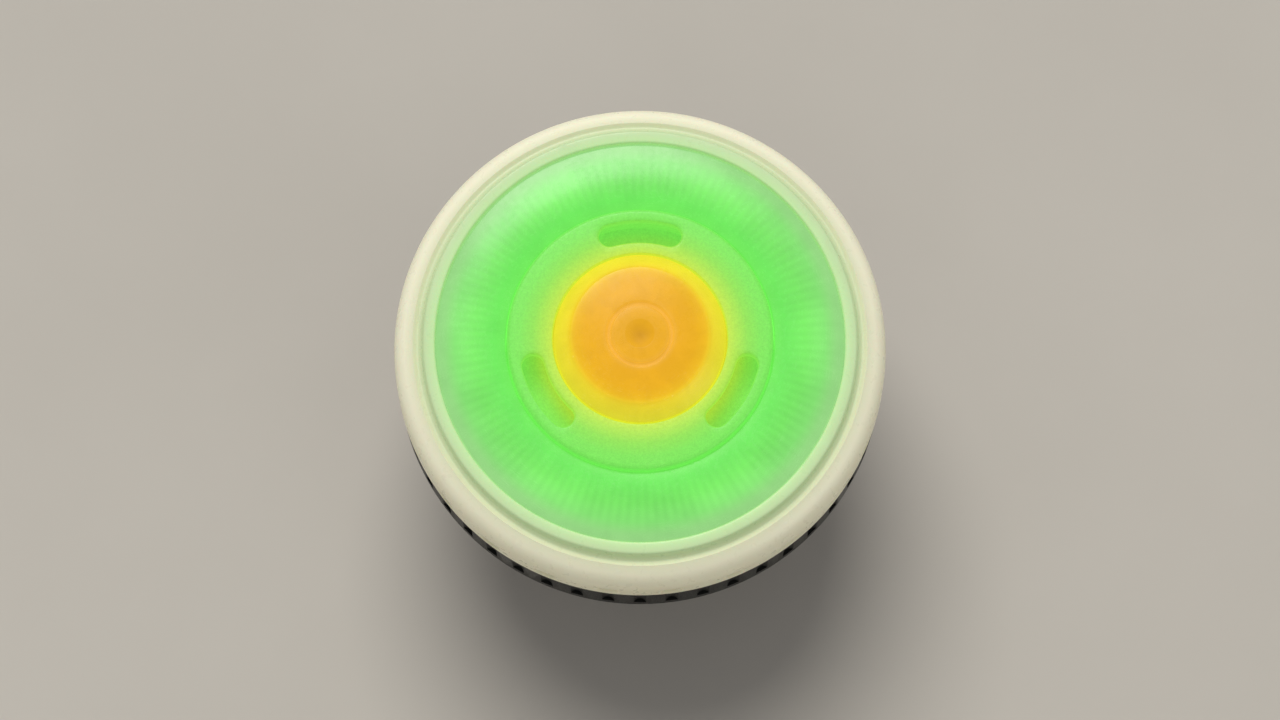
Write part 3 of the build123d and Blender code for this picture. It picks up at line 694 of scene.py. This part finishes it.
def make_rim():
    """The upper shell: a fluted wall, a round shoulder, and a lip that holds the lens down."""
    low, lip_in, lip_top, lens_seat = 26.65, LENS_OUT + 0.1, 33.0, 31.9
    wall = [(RIM, RIM_FLUTE_LOW + 0.08 * k) for k in range(23)]
    shoulder = arc((RIM, 29.4), (22.6, 30.95), (21.2, 32.2), 18)
    corners = [
        (SHELL_IN, low), (RIM - 0.4, low, 0.12), (RIM, low + 0.5, 0.25), *wall, *shoulder,
        (20.75, 31.9, 0.2), (20.4, 32.3, 0.1), (SHELL_IN, lip_top, 0.28),
        (lip_in, lip_top, 0.22), (lip_in, lens_seat), (SHELL_IN, lens_seat),
    ]
    flutes = grooves(
        24, first=7.5, centre=RIM + 1.1, radius=1.6,
        low=RIM_FLUTE_LOW, high=RIM_FLUTE_HIGH, fade=0.3, lip=0.2,
    )
    return lathe("cream_rim", dense(outline(*corners), 0.35), FINE, flutes)


def make_lens():
    """The green ring, crowned on top, with a flange under the shell's lip."""
    flange_low, flange_top = 31.05, 31.85
    crest = arc((LENS_OUT, 32.6), (15.8, 33.2), (LENS_IN, 33.1), 28)
    corners = [
        (LENS_IN, 30.3), (13.3, 30.3), (13.3, 31.9), (18.05, 31.5), (18.05, flange_low),
        (20.05, flange_low), (20.05, flange_top), (LENS_OUT, flange_top),
        (*crest[0], 0.12), *crest[1:-1], (*crest[-1], 0.12),
    ]
    return lathe("lens_ring_lit", outline(*corners))


def make_step():
    """The ring beside the hub, whose plate has the three slots for a launcher's hooks."""
    wall_in, foot_out, foot_top = 11.6, 13.4, 30.2
    corners = [
        (STEP_IN, PLATE_UNDER), (wall_in, PLATE_UNDER), (wall_in, 29.75), (8.75, 29.75),
        (8.75, COVER_FOOT), (foot_out, COVER_FOOT), (foot_out, foot_top), (STEP_OUT, foot_top),
        (STEP_OUT, STEP_TOP, 0.4), (STEP_IN, STEP_TOP, 0.12),
    ]
    rows = levels(PLATE_UNDER, STEP_TOP, 0.22)
    slots = [slot_cutter(rows, angle, SLOT_PITCH, SLOT_HALF, SLOT_SPAN) for angle in spaced(90, 3)]
    return cut(lathe("launcher_step", outline(*corners)), slots)


def make_hub():
    """The amber cap: a crown with a dimple and a ring groove, a bevelled side and a flange."""
    ball = 2.0  # radius of the dimple's hollow
    dimple = [
        (r, HUB_TOP + 1.45 - math.sqrt(ball**2 - r * r)) for r in (0, 0.25, 0.5, 0.75, 1.0, 1.2)
    ]
    floor = 35.55
    corners = [
        *dimple, (1.37, crown(1.37), 0.15), (2.0, crown(2.0)),
        (CROWN_RING_IN, crown(CROWN_RING_IN), 0.1), (CROWN_RING_IN + 0.04, floor, 0.08),
        (CROWN_RING_OUT - 0.04, floor, 0.08), (CROWN_RING_OUT, crown(CROWN_RING_OUT), 0.1),
        *[(r / 10, crown(r / 10)) for r in range(36, 62, 4)],
        (HUB_CROWN, crown(HUB_CROWN), 0.35), (HUB_FOOT, STEP_TOP - 0.1, 0.1), (HUB_FOOT, 32.55),
        (HUB_FLANGE, 32.55), (HUB_FLANGE, COVER_FOOT), (7.3, COVER_FOOT),
        (6.8, 33.2), (5.4, 34.3), (0, 34.6),
    ]
    return lathe("hub_cap", outline(*corners))


def make_disc():
    """The zinc ring: a heavy rim with twelve bites, a web with six windows, and a seat."""
    seat, web_out, rim_in, bevel = 12.0, 15.2, 15.8, 19.3
    corners = [
        (DISC_IN, DISC_LOW), (seat, DISC_LOW, 0.2), (seat, WEB_LOW, 0.3), (web_out, WEB_LOW, 0.3),
        (rim_in, 16.8, 0.3), (bevel, 16.8, 0.3), (DISC_RADIUS, 17.8, 0.3),
        (DISC_RADIUS, 20.2, 0.3), (bevel, DISC_HIGH, 0.3), (rim_in, DISC_HIGH, 0.3),
        (web_out, WEB_HIGH, 0.3), (seat, WEB_HIGH, 0.3), (seat, DISC_HIGH, 0.2),
        (DISC_IN, DISC_HIGH),
    ]
    bites = grooves(
        12, first=15, centre=DISC_RADIUS + 1.2, radius=2.0, low=16.0, high=22.0, fade=0.1, lip=0.2
    )
    ring = lathe("weight_ring", dense(outline(*corners), 0.6), FINE, bites)
    rows = levels(WEB_LOW, WEB_HIGH, 0.2)
    windows = [
        slot_cutter(rows, angle, WINDOW_PITCH, WINDOW_HALF, WINDOW_SPAN) for angle in spaced(0, 6)
    ]
    return cut(ring, windows)


def make_driver():
    """The black cone, the collar inside the disc, and the neck with its three lock lugs."""
    collar, bore, spring_bore, neck_top = 8.8, 4.85, 5.55, 25.2
    rise = [(to - start) / 20 for start, to in zip(CONE_FOOT, CONE_HEAD)]
    cone = [(CONE_FOOT[0] + rise[0] * k, CONE_FOOT[1] + rise[1] * k) for k in range(1, 20)]
    hair = 0.005  # between the points that become a lug's edge and those that stay on the neck
    edges = [(NECK, z + off) for z in (LUG_LOW, LUG_HIGH) for off in (-hair, hair)]
    corners = [
        (spring_bore, CONE_FOOT[1]), (*CONE_FOOT, 0.1), *cone, (*CONE_HEAD, 0.3), (12.8, 14.8, 0.3),
        (12.8, DISC_LOW, 0.1), (collar, DISC_LOW), (collar, 21.3), (NECK, 21.3), *edges,
        (NECK, neck_top, 0.15), (bore, neck_top), (bore, 20.5), (spring_bore, 20.5),
    ]
    flutes = grooves(12, first=15, centre=13.0, radius=1.5, low=8.0, high=14.7, fade=0.4, lip=0.15)
    lock = lugs(3, 90, LUG_SPAN, NECK, LUG_RADIUS, LUG_LOW, LUG_HIGH)
    return lathe("driver_cone", dense(outline(*corners), 1.0), FINE, flutes, lock)


def make_tip():
    """The flat tip, with its waist and the hole for the axle."""
    waist, top = 2.9, 4.5
    corners = [
        (0, 0), (3.2, 0, 0.5), (4.3, 1.6, 0.5), (4.3, 2.6, 0.5), (waist, top, 0.1),
        (TIP_AXLE, top), (TIP_AXLE, 1.6), (0, 1.6),
    ]
    return lathe("tip_foot", outline(*corners))


black = moulded_look("black_abs", srgb(20, 21, 19), srgb(29, 30, 27), shine=0.25)
driver_black = moulded_look(
    "driver_black", srgb(34, 35, 37), srgb(46, 47, 49), rough=0.42, grain_depth=0.01
)
grey = moulded_look("grey_nylon", srgb(88, 91, 96), srgb(102, 105, 110), dust=0.2)
tip_black = moulded_look(
    "tip_acetal", srgb(48, 48, 50), srgb(62, 62, 64), rough=0.36, grain_depth=0.006, dust=0.2
)
white = moulded_look(
    "white_abs", srgb(226, 226, 220), srgb(238, 238, 232), rough=0.45, grain_depth=0.008, dust=0.05
)
steel = metal_look("plated_steel", srgb(196, 196, 198), srgb(140, 138, 134), rough=0.28)
brass = metal_look("brass", srgb(214, 176, 102), srgb(150, 112, 60))
chip = moulded_look(
    "chip_resin", srgb(28, 28, 30), srgb(36, 36, 38), rough=0.6, grain_depth=0.006, dust=0.03
)

# What is built here, with the body it rides on, and the CAD node and material slot it stands for
PIECES = [
    (make_rim, "upper", "upper_shell", "cream_plastic", cream_look()),
    (make_lens, "upper", "lens_ring", "green_lens", lens_look()),
    (make_step, "upper", "launcher_ring", "frosted_lime", step_look()),
    (make_hub, "upper", "hub_lens", "amber_lens", hub_look()),
    (make_disc, "driver", "weight_disc", "zinc", cast_look()),
    (make_driver, "driver", "driver_shell", "black_plastic", driver_black),
    (make_tip, "tip", "tip", "tip_plastic", tip_black),
]
for make, body, node, slot, material in PIECES:
    piece = make()
    dress(piece, material)
    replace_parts(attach(piece, body), node)

# CAD nodes that are shown as they are, with a better material
CARRIED = {
    black: ["base_tray", "battery_cover"],
    grey: ["driver_base"],
    white: ["reflector", "lock_plunger", "thrust_washer"],
    steel: [
        "tip_axle", "axle_clip", "driver_screws", "case_screws", "cover_screws",
        "switch_ball", "button_cells",
    ],
    brass: ["tip_bush", "board_contacts", "cover_contacts", "switch_sleeve", "switch_contact"],
    board_look(): ["circuit_board"],
    lamp_look("green_lamps", srgb(150, 255, 120), 4.0): ["green_leds"],
    lamp_look("amber_lamp", srgb(255, 190, 70), 4.0): ["amber_led"],
    chip: ["controller_chip", "resistors"],
}
for material, names in CARRIED.items():
    for name in names:
        dress(nodes[name], material)

# Each spring is shown as a steel copy of its CAD node, fixed where it stands; the two bodies listed
# for its ends are not used.
ALONG_Y, ALONG_Z = 1, 2
for node, low_body, high_body, axis in (
    ("lock_spring", "driver", "plunger", ALONG_Z),
    ("switch_spring", "switch_ball", "upper", ALONG_Y),
):
    coil = add_object(node + "_coil", nodes[node].data.copy())
    finish_mesh(coil.data)
    dress(coil, steel)
    low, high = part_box(node)
    end = Vector(low)
    end[axis] = high[axis]
    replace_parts(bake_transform(coil), node)


# --- Stage ----------------------------------------------------------------------------------------


def make_stage():
    """A wide table top that curves up into a backdrop all round."""
    reach, rise, bend, thick = 2600, 1500, 900, 30
    upper = [(0, 0), (reach, 0, bend), (reach, rise), (reach + thick, rise)]
    floor = lathe("floor", outline(*upper, (reach + thick, -thick, bend), (0, -thick), steps=24))
    dress(floor, floor_look())
    world = bpy.data.worlds.new("studio")
    bpy.context.scene.world = world
    world.use_nodes = True
    background = world.node_tree.nodes["Background"]
    background.inputs["Color"].default_value = (0.82, 0.84, 0.87, 1)
    background.inputs["Strength"].default_value = 0.42


def add_sun(azimuth, elevation, strength, spread, colour):
    """Parallel light without highlights. Azimuth 0 is beyond the part along +Y."""
    light = bpy.data.lights.new("key", "SUN")
    light.energy = strength
    light.angle = math.radians(spread)
    light.color = colour
    lamp = bpy.data.objects.new("key", light)
    bpy.context.scene.collection.objects.link(lamp)
    lamp.rotation_euler = (math.radians(elevation - 90), 0, math.radians(azimuth))
    lamp.visible_glossy = False


def add_panel(name, place, aim, size, power, colour):
    """A round panel that only makes highlights."""
    light = bpy.data.lights.new(name, "AREA")
    light.shape = "DISK"
    light.size = size
    light.energy = power
    light.color = colour
    lamp = bpy.data.objects.new(name, light)
    bpy.context.scene.collection.objects.link(lamp)
    lamp.location = place
    lamp.rotation_euler = (Vector(aim) - Vector(place)).to_track_quat("-Z", "Y").to_euler()
    lamp.visible_diffuse = False


def add_camera(azimuth, elevation, distance, lens, centre):
    """Azimuth 0 looks along +Y; elevation is above the floor."""
    az, el = math.radians(azimuth), math.radians(elevation)
    away = Vector((-math.sin(az) * math.cos(el), -math.cos(az) * math.cos(el), math.sin(el)))
    data = bpy.data.cameras.new("camera")
    data.lens = lens
    data.clip_start = 0.01
    camera = bpy.data.objects.new("camera", data)
    bpy.context.scene.collection.objects.link(camera)
    camera.location = centre + away * distance
    camera.rotation_euler = (-away).to_track_quat("-Z", "Y").to_euler()
    bpy.context.scene.camera = camera


make_stage()
MIDDLE = (0, 0, 0.025)  # metres
WARM = (1.0, 0.98, 0.93)
add_sun(azimuth=12, elevation=62, strength=2.15, spread=34, colour=WARM)
add_panel("softbox", (-0.07, 0.30, 0.38), (0, 0, 0.02), 0.30, 0.8, (1.0, 0.98, 0.94))
add_panel("side_panel", (0.36, -0.22, 0.14), MIDDLE, 0.3, 0.2, (1.0, 0.98, 0.92))
add_camera(azimuth=0, elevation=77, distance=0.62, lens=185, centre=Vector(MIDDLE))
bpy.context.scene.view_settings.view_transform = "Standard"
